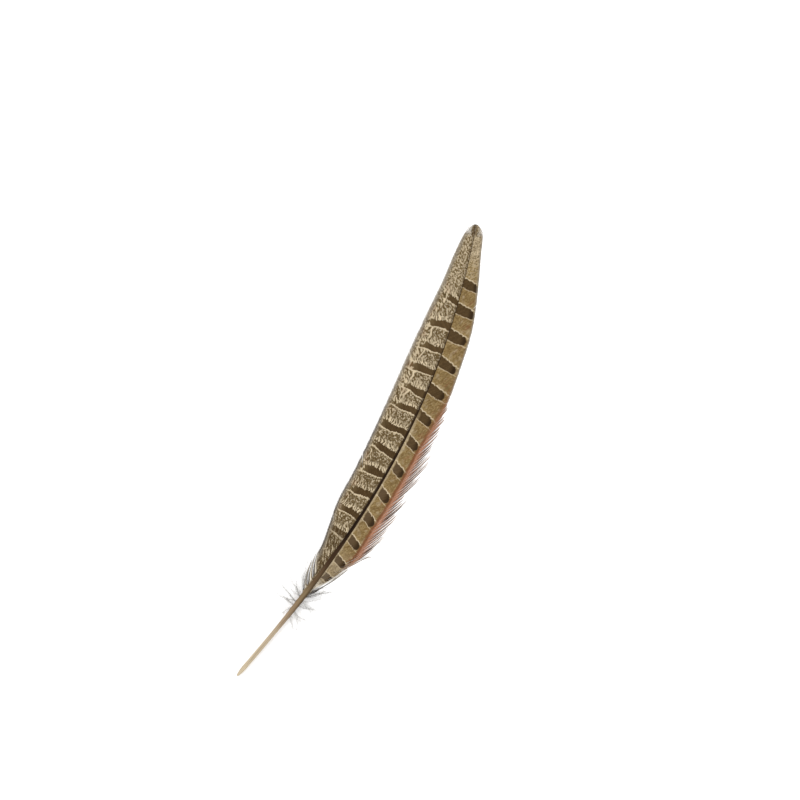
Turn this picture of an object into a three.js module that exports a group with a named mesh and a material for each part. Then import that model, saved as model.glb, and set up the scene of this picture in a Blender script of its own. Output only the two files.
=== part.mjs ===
// A tail feather of a pheasant, laid down on a level surface with its patterned upper side showing.
// Millimetres. +Z is up and the feather points along +Y, from the point of its quill to its tip.
//
// It comes apart on a bench as five pieces. The shaft is one piece: a round quill that turns into a
// rachis, which is deeper than it is wide and has a groove along its underside. A web is stripped off
// each side of the rachis: a broad one on the left and a narrow one on the right. Below the webs sits a
// tuft of down on each side. Seen from above, the whole feather bows to the right.

import * as THREE from "three";

// --- Driving dimensions ------------------------------------------------------------------------

// The shaft's middle line is one cubic curve. It starts at the point of the quill.
const SHAFT_START = new THREE.Vector3(0, 0, 0.81);
const SHAFT_START_PULL = new THREE.Vector3(18.5, 81.8, 5.4);
const SHAFT_END_PULL = new THREE.Vector3(28.8, 153.6, 5.4);
const SHAFT_END = new THREE.Vector3(0, 246.3, 0.55);

// Width of the shaft, at distances along it from the point of the quill.
const SHAFT_WIDTHS = [
  [0, 0.9],
  [3, 1.9],
  [10, 2.15],
  [26, 2.2],
  [38, 2.45],
  [49, 2.85],
  [65, 2.45],
  [87, 1.8],
  [112, 1.2],
  [144, 0.75],
  [180, 0.5],
  [250, 0.3],
];
const RACHIS_DEPTH = 1.25; // depth of the rachis, as a share of its width
const RACHIS_FROM = 40; // the round quill starts to turn into the rachis here
const RACHIS_FULL = 60; // and has turned into it here
const GROOVE_DEPTH = 0.22; // depth of the groove below, as a share of half the width
const GROOVE_SPREAD = 0.45; // half width of the groove, as an angle about the middle line, in radians

// How far each web reaches to its side of the shaft.
const BROAD_REACH = [
  [56, 3.2],
  [62, 5.2],
  [74, 7.4],
  [86, 10.6],
  [98, 13.4],
  [116, 14.6],
  [140, 15.8],
  [160, 16.2],
  [182, 15.6],
  [200, 13.9],
  [224, 9.9],
  [240, 7.1],
  [248, 4.9],
  [250, 4.1],
  [253, 1.6],
];
const NARROW_REACH = [
  [57, 3.0],
  [62, 6.0],
  [72, 9.2],
  [80, 12.2],
  [90, 14.0],
  [104, 14.4],
  [122, 14.2],
  [140, 13.6],
  [152, 12.9],
  [166, 11.7],
  [182, 11.2],
  [204, 10.5],
  [224, 7.6],
  [240, 5.2],
  [248, 4.3],
  [250, 3.8],
  [253, 1.5],
];
const WEB_THICKNESS = 0.5;
const WEB_SEAT = 0.3; // height of a web's root over the middle line, as a share of the shaft's width
const DROOP_POWER = 1.6; // how sharply a web bends down towards its edge
const BROAD_DROOP = 0.5; // share of its root's height that the broad web's edge comes down
const NARROW_DROOP = 1; // the narrow web comes all the way down to the surface
const FLAT_FROM = 0.8; // the narrow web lies flat past this share of its reach
const GAP = 0.3; // clearance between neighbouring pieces

// The tufts of down fan out from the shaft: where each starts and ends along it, at the root and at the tips.
const DOWN_ROOT = [37, 55];
const LEFT_DOWN_TIPS = [37, 60];
const RIGHT_DOWN_TIPS = [33, 66];
const LEFT_DOWN_REACH = 13.2;
const RIGHT_DOWN_REACH = 15.4;
const DOWN_ROUNDING = 0.25; // the longest down is in the middle of a tuft, and the outermost is this share shorter
const DOWN_THICKNESS = 1.6;
const DOWN_CLEAR_OF_SURFACE = 0.4;

// Fineness of the facets.
const SHAFT_SIDES = 12;
const SHAFT_STEPS = 60;
const WEB_STEPS_ALONG = 60;
const WEB_STEPS_ACROSS = 5;
const DOWN_STEPS = 6;

const COLOURS = {
  shaft: 0x5a4030,
  broad_web: 0x94805a,
  narrow_web: 0xa08a5e,
  down: 0xc9c6c2,
};

// --- The feather's own frame: along the shaft, across it, and up ---------------------------------

const UP = new THREE.Vector3(0, 0, 1);
const shaftLine = new THREE.CubicBezierCurve3(SHAFT_START, SHAFT_START_PULL, SHAFT_END_PULL, SHAFT_END);
shaftLine.arcLengthDivisions = 2000;
const SHAFT_LENGTH = shaftLine.getLength();

// The value at a station, on a smooth curve through [station, value] pairs.
function smoothThrough(pairs) {
  const stations = pairs.map(([station]) => station);
  const values = pairs.map(([, value]) => value);
  const curve = new THREE.CubicInterpolant(stations, values, 1, new Float32Array(1));
  return (station) => curve.evaluate(THREE.MathUtils.clamp(station, stations[0], stations.at(-1)))[0];
}

const shaftWidth = smoothThrough(SHAFT_WIDTHS);
const broadReach = smoothThrough(BROAD_REACH);
const narrowReach = smoothThrough(NARROW_REACH);

// Middle line, forward and sideways directions at a distance along the shaft. The line runs straight on past its end.
function stationAt(along) {
  const share = THREE.MathUtils.clamp(along / SHAFT_LENGTH, 0, 1);
  const forward = shaftLine.getTangentAt(share);
  const beyond = along - share * SHAFT_LENGTH;
  const middle = shaftLine.getPointAt(share).addScaledVector(forward, beyond);
  const right = new THREE.Vector3().crossVectors(forward, UP).normalize();
  return { middle, forward, right };
}

// --- Shapes -------------------------------------------------------------------------------------

// Moves every vertex of a geometry to where place(vertex) says.
function reshape(geometry, place) {
  const corners = geometry.attributes.position;
  const vertex = new THREE.Vector3();
  for (let i = 0; i < corners.count; i++) {
    const moved = place(vertex.fromBufferAttribute(corners, i));
    corners.setXYZ(i, moved.x, moved.y, moved.z);
  }
  geometry.computeVertexNormals();
  return geometry;
}

// The shaft starts as a cylinder of radius 1 and height 1, whose rings are moved along the middle line.
function shaftGeometry() {
  const cylinder = new THREE.CylinderGeometry(1, 1, 1, SHAFT_SIDES, SHAFT_STEPS);
  return reshape(cylinder, (vertex) => {
    const along = (vertex.y + 0.5) * SHAFT_LENGTH;
    const { middle, forward, right } = stationAt(along);
    const upwards = new THREE.Vector3().crossVectors(right, forward);
    const rachis = THREE.MathUtils.smoothstep(along, RACHIS_FROM, RACHIS_FULL);
    const fromBelow = Math.abs(Math.atan2(vertex.x, -vertex.z));
    const groove = GROOVE_DEPTH * rachis * Math.exp(-((fromBelow / GROOVE_SPREAD) ** 2));
    const halfWidth = (shaftWidth(along) / 2) * (1 - groove);
    const depth = 1 + (RACHIS_DEPTH - 1) * rachis;
    return middle
      .addScaledVector(right, vertex.x * halfWidth)
      .addScaledVector(upwards, vertex.z * halfWidth * depth);
  });
}

// Height of the middle of a web at a point, whose offset is a share of the web's reach.
function webHeight(along, share, droop) {
  const lowest = WEB_THICKNESS / 2;
  const root = Math.max(stationAt(along).middle.z + WEB_SEAT * shaftWidth(along), lowest);
  const bend = Math.min(share / FLAT_FROM, 1) ** DROOP_POWER;
  return lowest + (root - lowest) * (1 - droop * bend);
}

// A web starts as a box, whose long edges are moved to the shaft and to the web's outline.
function webGeometry(side, pairs, reach, droop) {
  const from = pairs[0][0];
  const to = pairs.at(-1)[0];
  const box = new THREE.BoxGeometry(1, 1, 1, WEB_STEPS_ACROSS, WEB_STEPS_ALONG, 1);
  return reshape(box, (vertex) => {
    const along = THREE.MathUtils.lerp(from, to, vertex.y + 0.5);
    const { middle, right } = stationAt(along);
    const shaftEdge = along > SHAFT_LENGTH ? 0 : shaftWidth(along) / 2;
    const inner = side * (shaftEdge + GAP);
    const outer = side * reach(along);
    const offset = THREE.MathUtils.lerp(Math.min(inner, outer), Math.max(inner, outer), vertex.x + 0.5);
    const height = webHeight(along, Math.abs(offset) / reach(along), droop);
    return middle.addScaledVector(right, offset).setZ(height + vertex.z * WEB_THICKNESS);
  });
}

// A tuft of down starts as a box, fanned out from the side of the shaft.
function downGeometry(side, tips, reach) {
  const box = new THREE.BoxGeometry(1, 1, 1, DOWN_STEPS, DOWN_STEPS, 1);
  return reshape(box, (vertex) => {
    const out = side > 0 ? vertex.x + 0.5 : 0.5 - vertex.x;
    const from = THREE.MathUtils.lerp(DOWN_ROOT[0], tips[0], out);
    const to = THREE.MathUtils.lerp(DOWN_ROOT[1], tips[1], out);
    const along = THREE.MathUtils.lerp(from, to, vertex.y + 0.5);
    const { middle, right } = stationAt(along);
    const inner = shaftWidth(along) / 2 + GAP;
    const outer = reach * (1 - DOWN_ROUNDING * (2 * vertex.y) ** 2);
    const offset = side * THREE.MathUtils.lerp(inner, outer, out);
    const lowest = DOWN_CLEAR_OF_SURFACE + DOWN_THICKNESS / 2;
    const height = THREE.MathUtils.lerp(Math.max(middle.z, lowest), lowest, out);
    return middle.addScaledVector(right, offset).setZ(height + vertex.z * DOWN_THICKNESS);
  });
}

// --- The feather --------------------------------------------------------------------------------

function piece(name, geometry, colour, roughness) {
  const material = new THREE.MeshStandardMaterial({ color: colour, roughness, metalness: 0 });
  const mesh = new THREE.Mesh(geometry, material);
  mesh.name = name;
  return mesh;
}

const LEFT = -1;
const RIGHT = 1;
const feather = new THREE.Group();
feather.add(
  piece("shaft", shaftGeometry(), COLOURS.shaft, 0.45),
  piece("broad_web", webGeometry(LEFT, BROAD_REACH, broadReach, BROAD_DROOP), COLOURS.broad_web, 0.8),
  piece("narrow_web", webGeometry(RIGHT, NARROW_REACH, narrowReach, NARROW_DROOP), COLOURS.narrow_web, 0.8),
  piece("down_left", downGeometry(LEFT, LEFT_DOWN_TIPS, LEFT_DOWN_REACH), COLOURS.down, 0.9),
  piece("down_right", downGeometry(RIGHT, RIGHT_DOWN_TIPS, RIGHT_DOWN_REACH), COLOURS.down, 0.9),
);

// The origin is under the middle of the feather, on the surface that it lies on.
const box = new THREE.Box3().setFromObject(feather, true);
const centre = box.getCenter(new THREE.Vector3());
feather.position.set(-centre.x, -centre.y, -box.min.z);

export default feather;
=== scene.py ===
"""A tail feather of a pheasant, lying on a pale floor and seen from straight above.

Each web is made of separate barbs, and each tuft of down of loose strands that carry finer strands.
Everything is laid out in the feather's own terms, in millimetres: along the shaft from the point of the
quill, out from the shaft's middle line, and up from the floor.
"""

import math
from types import SimpleNamespace

import bmesh
import bpy
import numpy as np
from mathutils import Matrix, Vector


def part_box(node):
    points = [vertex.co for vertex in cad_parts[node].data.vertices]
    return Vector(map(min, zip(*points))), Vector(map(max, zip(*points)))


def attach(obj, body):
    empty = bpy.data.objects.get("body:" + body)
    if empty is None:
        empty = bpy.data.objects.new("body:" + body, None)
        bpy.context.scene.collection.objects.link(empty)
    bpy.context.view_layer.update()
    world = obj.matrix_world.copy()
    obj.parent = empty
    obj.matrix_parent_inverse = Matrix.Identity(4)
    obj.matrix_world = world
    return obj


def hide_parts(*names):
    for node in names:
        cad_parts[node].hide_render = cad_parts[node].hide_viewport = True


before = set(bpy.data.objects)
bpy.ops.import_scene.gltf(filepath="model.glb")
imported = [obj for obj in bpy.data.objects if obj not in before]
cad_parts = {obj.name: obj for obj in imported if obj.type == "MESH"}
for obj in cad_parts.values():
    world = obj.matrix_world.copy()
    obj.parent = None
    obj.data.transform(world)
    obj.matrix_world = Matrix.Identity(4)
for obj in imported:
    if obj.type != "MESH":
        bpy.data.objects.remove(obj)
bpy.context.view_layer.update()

MM = 0.001
UP = np.array((0.0, 0.0, 1.0))

# --- Driving dimensions, in millimetres ---

# The shaft's middle line is one cubic curve. It starts at the point of the quill.
SHAFT_LINE = np.array(((0, 0, 0.81), (18.5, 81.8, 5.4), (28.8, 153.6, 5.4), (0, 246.3, 0.55)))
SHAFT_WIDTHS = (
    (0, 0.9), (3, 1.9), (10, 2.15), (26, 2.2), (38, 2.45), (49, 2.85), (65, 2.45), (87, 1.8),
    (112, 1.2), (144, 0.75), (180, 0.5), (250, 0.3),
)
RACHIS_DEPTH = 1.25  # depth of the rachis, as a share of its width
RACHIS_FROM = 40  # the round quill starts to turn into the rachis here
RACHIS_FULL = 60  # and has turned into it here
GROOVE_DEPTH = 0.22  # depth of the groove below, as a share of half the width
GROOVE_SPREAD = 0.45  # half width of the groove, as an angle about the middle line
POINT_LENGTH = 0.7  # the quill's end is rounded off over this length
POINT_ROUNDING = 0.6  # how far it draws in
HOLE_RIM = 0.35  # width of the rim round the hole in the quill's end, as a share of half the quill's width
HOLE_DEPTH = 1.4

# How far each web reaches to its side of the shaft, and how far out its bars go.
BROAD_REACH = (
    (56, 4.2), (62, 6.5), (69, 7.0), (76, 7.8), (86, 10.4), (98, 13.4), (116, 14.6), (140, 15.8), (160, 16.2),
    (182, 15.6), (200, 13.9), (224, 9.9), (240, 7.1), (248, 4.9), (250, 4.1), (253, 3.2),
)
NARROW_REACH = (
    (54, 4.0), (60, 4.9), (66, 7.1), (72, 9.1), (80, 11.7), (90, 13.9), (104, 14.8), (122, 14.6),
    (140, 14.2), (152, 13.5), (166, 11.9), (182, 11.2), (204, 10.5), (224, 7.6), (240, 5.2), (248, 4.3),
    (250, 3.9), (253, 3.1),
)
BROAD_BAR_ENDS = (
    (60, 3.5), (73, 5.8), (87, 8.8), (98, 10.6), (110, 10.9), (122, 11.0), (133, 12.8), (145, 14.6),
    (156, 11.2), (166, 10.9), (178, 11.2), (190, 9.8), (202, 10.0), (213, 6.6), (253, 1.4),
)
NARROW_BAR_ENDS = (
    (57, 4.2), (65, 6.6), (75, 7.5), (82, 7.9), (89, 7.5), (114, 7.3), (142, 7.3), (156, 8.0),
    (170, 9.0), (182, 8.8), (198, 9.3), (211, 9.0), (224, 7.1), (240, 4.6), (253, 0.9),
)

# The dark bars of each web: where the middle of each meets the shaft, its width, and how far its outer end
# has come towards the tip.
BROAD_BARS = (
    (73.0, 2.6, -0.5), (87.0, 2.9, -0.2), (97.8, 2.9, 0.2), (109.6, 3.0, -1.9), (121.7, 3.1, -0.9),
    (133.2, 3.3, -0.3), (144.5, 3.4, 0.4), (155.8, 3.3, 0.2), (165.7, 3.3, 1.5), (177.4, 3.2, 0.0),
    (189.0, 3.4, -0.1), (201.3, 3.7, -0.5), (213.3, 3.4, 2.2),
)
NARROW_BARS = (
    (65.2, 3.6, -0.8), (75.8, 3.5, -2.3), (87.6, 3.8, -2.8), (101.3, 4.4, -3.1), (114.7, 4.4, -2.9),
    (128.7, 4.3, -2.9), (143.2, 4.4, -2.9), (156.3, 4.6, -2.6), (169.8, 4.9, -2.3), (184.0, 4.8, -2.9),
    (197.8, 5.1, -2.0), (211.1, 4.9, -2.0), (223.9, 4.4, -1.9),
)
BAR_SHARE = 0.3  # a bar takes this share of each repeat of the pattern
LAST_BAR = len(BROAD_BARS) - 1  # bars are counted from 0, and both webs have as many

BARB_SPACING = 0.42
WIDEST_BARB = 0.34
LAST_BARB = 252
TIP_END = 253.3  # the webs' outline closes here
TIP_ROUNDING = 2.2  # over this length
TIP_FAN = 12  # the last barbs lean this much more towards the tip
TIP_FAN_FROM = 243
BUNDLE = 4.2  # at a web's foot the barbs hang together in bundles, this far apart
LONGEST_RUN = (10, 1.7)  # how far the first barb runs along the shaft, and how much more each millimetre adds
WEB_SEAT = 0.3  # height of a barb's root over the middle line, as a share of the shaft's width
DROOP_POWER = 1.6  # how sharply a web bends down towards its edge
FLAT_FROM = 0.8  # the narrow web lies flat past this share of its reach
LOWEST_BARB = 0.16  # height of the middle of a barb that lies on the floor
CLEAR_OF_FLOOR = 0.012  # no strand comes closer to the floor
BARB_HALF_WIDTH = 0.62  # as a share of the distance to the next barb, so that neighbours overlap
BARB_ABOVE = 0.05  # how far a barb's body reaches over its middle
BARB_BELOW = 0.07  # and under it
STRAY_SHARE = 0.25  # the share of the low hairs that stray out of the web
STRAY_LENGTH = 0.45  # how much longer they are, as a share

MAP_CELL_ASPECT = 25  # a strand's cell on the map for baked colours is this many times as long as it is high
MAP_CELL_RIM = np.array((0.01, 0.04))  # its empty rim, as shares of its length and height

FRAME_WIDTH = 390.2  # what the camera sees, from left to right
FRAME_CENTRE = (6.6, 156.3, 0)  # the middle of its picture, from the point of the quill
FEATHER_LEAN = 28.15  # degrees that the feather leans to the right in the picture
FEATHER_TOP = 2.5  # mean height of what the camera looks at
FOCAL_LENGTH = 85
SENSOR_WIDTH = 36

FLOOR_REACH = 3  # in metres, each way from the middle
FLOOR_DROP = 0.00001  # in metres, to keep it clear of the feather's faces
# how strongly the floor glows, which washes out the shadows on it
FLOOR_GLOW = 0.16
STUDIO_LIGHT = 0.78  # strength of the even light from all round
# Each lamp's name, its place and its size in metres, and its power in watts.
LAMPS = (("key", (-0.9, 0.5, 1.3), 0.9, 14), ("fill", (1.1, -0.6, 1.3), 1.6, 7))


# --- Small helpers ---


def smooth_through(pairs):
    """A smooth curve through (station, value) pairs, level beyond the first and the last."""
    stations, values = np.array(pairs, float).T
    slopes = np.gradient(values, stations)

    def curve(station):
        x = np.clip(station, stations[0], stations[-1])
        i = np.clip(np.searchsorted(stations, x) - 1, 0, len(stations) - 2)
        gap = stations[i + 1] - stations[i]
        t = (x - stations[i]) / gap
        rise = values[i + 1] - values[i]
        lean = gap * ((1 - t) * slopes[i] - t * slopes[i + 1])
        return values[i] + t * t * (3 - 2 * t) * rise + t * (1 - t) * lean

    return curve


def soft_step(value, start, end):
    """0 at start, 1 at end, and a smooth rise between them."""
    t = np.clip((value - start) / (end - start), 0, 1)
    return t * t * (3 - 2 * t)


def unit(vectors):
    return vectors / np.maximum(np.linalg.norm(vectors, axis=-1, keepdims=True), 1e-9)


def srgb(red, green, blue):
    """A colour given as 0 to 255 for the screen, as the shader wants it."""
    screen = np.array((red, green, blue)) / 255
    linear = np.where(screen <= 0.04045, screen / 12.92, ((screen + 0.055) / 1.055) ** 2.4)
    return (*linear.tolist(), 1.0)


def mesh_from(bm, name):
    mesh = bpy.data.meshes.new(name)
    bm.to_mesh(mesh)
    bm.free()
    return mesh


def add_object(name, data):
    """A new object in the scene, at the origin."""
    made = bpy.data.objects.new(name, data)
    bpy.context.scene.collection.objects.link(made)
    return made


# --- The feather's own terms ---

LINE_STEPS = 2001


def cubic(points, share):
    share = np.asarray(share, float)[..., None]
    rest = 1 - share
    start, start_pull, end_pull, end = points
    from_start = rest**3 * start + 3 * rest**2 * share * start_pull
    return from_start + 3 * rest * share**2 * end_pull + share**3 * end


line = cubic(SHAFT_LINE, np.linspace(0, 1, LINE_STEPS))
line_along = np.concatenate(([0], np.cumsum(np.linalg.norm(np.diff(line, axis=0), axis=1))))
line_forward = unit(np.gradient(line, line_along, axis=0))
SHAFT_LENGTH = line_along[-1]
shaft_width = smooth_through(SHAFT_WIDTHS)


def station(along):
    """The shaft's middle, forward and right at a distance along it. It runs straight on past its end."""
    inside = np.clip(along, 0, SHAFT_LENGTH)
    middle = np.stack([np.interp(inside, line_along, line[:, axis]) for axis in range(3)], -1)
    forward = unit(np.stack([np.interp(inside, line_along, line_forward[:, axis]) for axis in range(3)], -1))
    middle = middle + forward * (along - inside)[..., None]
    return middle, forward, unit(np.cross(forward, UP))


# The left edge of the quill's end is the frame's lowest corner of the shaft, and it places everything.
shaft_low = np.array(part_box("shaft")[0]) / MM
quill_right = station(np.array(0.0))[2]
ORIGIN = np.array((*(shaft_low[:2] + 0.5 * SHAFT_WIDTHS[0][1] * np.abs(quill_right[:2])), 0.0))


def lay(along, out, height):
    """A place in the feather's own terms, as a place in the row frame, in metres. Left is negative."""
    middle, _, right = station(along)
    place = middle * (1, 1, 0) + right * out[..., None] + UP * height[..., None]
    return (place + ORIGIN) * MM


# --- Strands: one small closed mesh, repeated and joined ---


def strand_template(name, sides, rings):
    """A sphere with poles at both ends, whose rings become the stations along a strand."""
    bm = bmesh.new()
    bmesh.ops.create_uvsphere(bm, u_segments=sides, v_segments=rings, radius=1)
    map_layer = bm.loops.layers.uv.new("OFBake")
    under_layer = bm.faces.layers.float.new("under")
    for face in bm.faces:
        middle = face.calc_center_median()
        face_turn = math.atan2(middle.y, middle.x)
        face[under_layer] = float(middle.y < 0)
        for loop in face.loops:
            place = loop.vert.co
            at_pole = abs(place.z) > 0.9999
            turn = face_turn if at_pole else math.atan2(place.y, place.x)
            beside = (turn - face_turn + math.pi) % math.tau - math.pi
            loop[map_layer].uv = (math.acos(-place.z) / math.pi, (face_turn % math.tau + beside) / math.tau)
    places = np.array([vertex.co for vertex in bm.verts])
    mesh = mesh_from(bm, name)
    ring = np.rint(np.arccos(np.clip(-places[:, 2], -1, 1)) / math.pi * rings).astype(int)
    pole = (ring == 0) | (ring == rings)
    around = np.where(pole[:, None], 0, unit(places[:, :2]))
    # The rings are evenly spaced, apart from the two short blunt ends.
    share = np.concatenate(([0], np.linspace(0.012, 0.988, rings - 1), [1]))
    return SimpleNamespace(mesh=mesh, ring=ring, around=around, share=share)


def sweep(template, path, normal, half_width, above, below):
    """Vertices of strands that follow the rows of path, which have these sizes about it at each ring."""
    ahead = unit(np.gradient(path, axis=1))
    wide = unit(np.cross(normal, ahead))
    upward = np.cross(ahead, wide)
    ring = template.ring
    out, up = template.around.T
    thick = np.where(up > 0, above[:, ring], below[:, ring])
    sideways = wide[:, ring] * (out * half_width[:, ring])[..., None]
    places = path[:, ring] + (sideways + upward[:, ring] * (up * thick)[..., None]) * MM
    places[..., 2] = np.maximum(places[..., 2], CLEAR_OF_FLOOR * MM)
    return places


def join_strands(name, template, places, values):
    """One object of many strands. values gives a number at each vertex of each strand, by attribute name."""
    count, size = places.shape[:2]
    piece = add_object(name, template.mesh)
    array = piece.modifiers.new("strands", "ARRAY")
    array.count = count
    array.use_relative_offset = False
    seen = piece.evaluated_get(bpy.context.evaluated_depsgraph_get())
    mesh = bpy.data.meshes.new_from_object(seen)
    mesh.name = name
    piece.modifiers.clear()
    piece.data = mesh
    mesh.vertices.foreach_set("co", places.astype(np.float32).ravel())
    for key, value in values.items():
        attribute = mesh.attributes.new(key, "FLOAT", "POINT")
        attribute.data.foreach_set("value", np.broadcast_to(value, (count, size)).astype(np.float32).ravel())
    # Every strand has a cell of its own on the map that colours are baked to.
    spots = np.zeros(2 * len(mesh.loops), np.float32)
    map_layer = mesh.uv_layers["OFBake"]
    map_layer.data.foreach_get("uv", spots)
    columns = max(1, round(math.sqrt(count / MAP_CELL_ASPECT)))
    rows = math.ceil(count / columns)
    cell = np.stack((np.arange(count) % columns, np.arange(count) // columns), -1)[:, None]
    inside = spots.reshape(count, -1, 2) * (1 - 2 * MAP_CELL_RIM)
    spots = (cell + MAP_CELL_RIM + inside) / (columns, rows)
    map_layer.data.foreach_set("uv", spots.astype(np.float32).ravel())
    mesh.shade_smooth()
    mesh.update()
    return piece


# --- Webs ---


def outline_through(pairs):
    reach = smooth_through(pairs)
    return lambda along: reach(along) * np.sqrt(np.clip((TIP_END - along) / TIP_ROUNDING, 0, 1))


def bar_counter(bars):
    """Counts the bars along the shaft: whole numbers at the middles of bars, and all bars equally wide."""
    stations, counts = [], []
    for number, (middle, width, _) in enumerate(bars):
        stations += [middle - width / 2, middle + width / 2]
        counts += [number - BAR_SHARE / 2, number + BAR_SHARE / 2]
    repeat = bars[-1][0] - bars[-2][0]
    stations = [stations[0] - repeat * (1 - BAR_SHARE), *stations, stations[-1] + 4 * repeat]
    counts = [counts[0] - (1 - BAR_SHARE), *counts, counts[-1] + 4]
    return lambda along: np.interp(along, stations, counts)


def bar_riser(bars):
    middles, _, rises = zip(*bars)
    return lambda along: np.interp(along, middles, rises)


BROAD = SimpleNamespace(
    side=-1,
    outline=outline_through(BROAD_REACH),
    bar_end=smooth_through(BROAD_BAR_ENDS),
    count=bar_counter(BROAD_BARS),
    rise=bar_riser(BROAD_BARS),
    rise_power=1.3,
    first_barb=51.0,
    lean=0.9,  # how steeply a barb runs towards the tip where it leaves the shaft
    curl=0.0055,  # how much steeper it gets further out, by the square of the distance
    foot=(72, 53),  # the barbs of its foot start to curl more here, and curl the most here
    foot_curl=9,
    droop=0.5,  # share of its height that the web comes down at its edge
    fringe=((57, 0), (250, 0)),  # how far the outer part of the web comes loose, along the shaft
    loose_foot=(65, 56),  # the barbs of its foot start to come loose here, and are quite loose here
    dark_edge=False,  # whether its lowest bundle is all dark, and the others have no dark side
    margin=1.9,  # the width of its thin edge
    splits=((126.6, 0.5), (93.0, 0.25), (184.0, 0.2)),  # where its edge parts, and how far
    seed=11,
)
NARROW = SimpleNamespace(
    side=1,
    outline=outline_through(NARROW_REACH),
    bar_end=smooth_through(NARROW_BAR_ENDS),
    count=bar_counter(NARROW_BARS),
    rise=bar_riser(NARROW_BARS),
    rise_power=1.0,
    first_barb=50.5,
    lean=0.9,
    curl=0.0115,
    foot=(66, 50),
    foot_curl=5,
    droop=1.0,
    fringe=((57, 0.6), (68, 1), (134, 1), (148, 0.55), (168, 0)),
    loose_foot=(59, 54),
    dark_edge=True,
    margin=0.9,
    splits=((215.0, 0.35),),
    seed=12,
)


def advance(web, out, roots):
    """How far towards the tip a barb has run when it is this far out."""
    fan = 1 + TIP_FAN * soft_step(roots, TIP_FAN_FROM, LAST_BARB) ** 2
    curl = web.curl * (1 + web.foot_curl * soft_step(roots, *web.foot))
    return web.lean * fan * out + curl * out**3 / 3


def barb_reach(web, roots, inner):
    """How far out each barb gets before its own path meets the web's outline."""
    low, high = inner + 0.05, np.full_like(roots, 20.0)
    longest = LONGEST_RUN[0] + LONGEST_RUN[1] * (roots - roots[0])
    for _ in range(30):
        middle = (low + high) / 2
        run = advance(web, middle, roots)
        inside = (middle < web.outline(roots + run)) & (run < longest)
        low, high = np.where(inside, middle, low), np.where(inside, high, middle)
    return low


def web_height(web, along, share):
    root = np.maximum(station(along)[0][..., 2] + WEB_SEAT * shaft_width(along), LOWEST_BARB)
    bend = np.minimum(share / FLAT_FROM, 1) ** DROOP_POWER
    return LOWEST_BARB + (root - LOWEST_BARB) * (1 - web.droop * bend)


def gathered(groups, roots):
    """How far each barb is from the middle of its group of barbs."""
    _, members = np.unique(groups, return_inverse=True)
    middles = np.bincount(members, roots[:, 0]) / np.bincount(members)
    return middles[members][:, None] - roots


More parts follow.
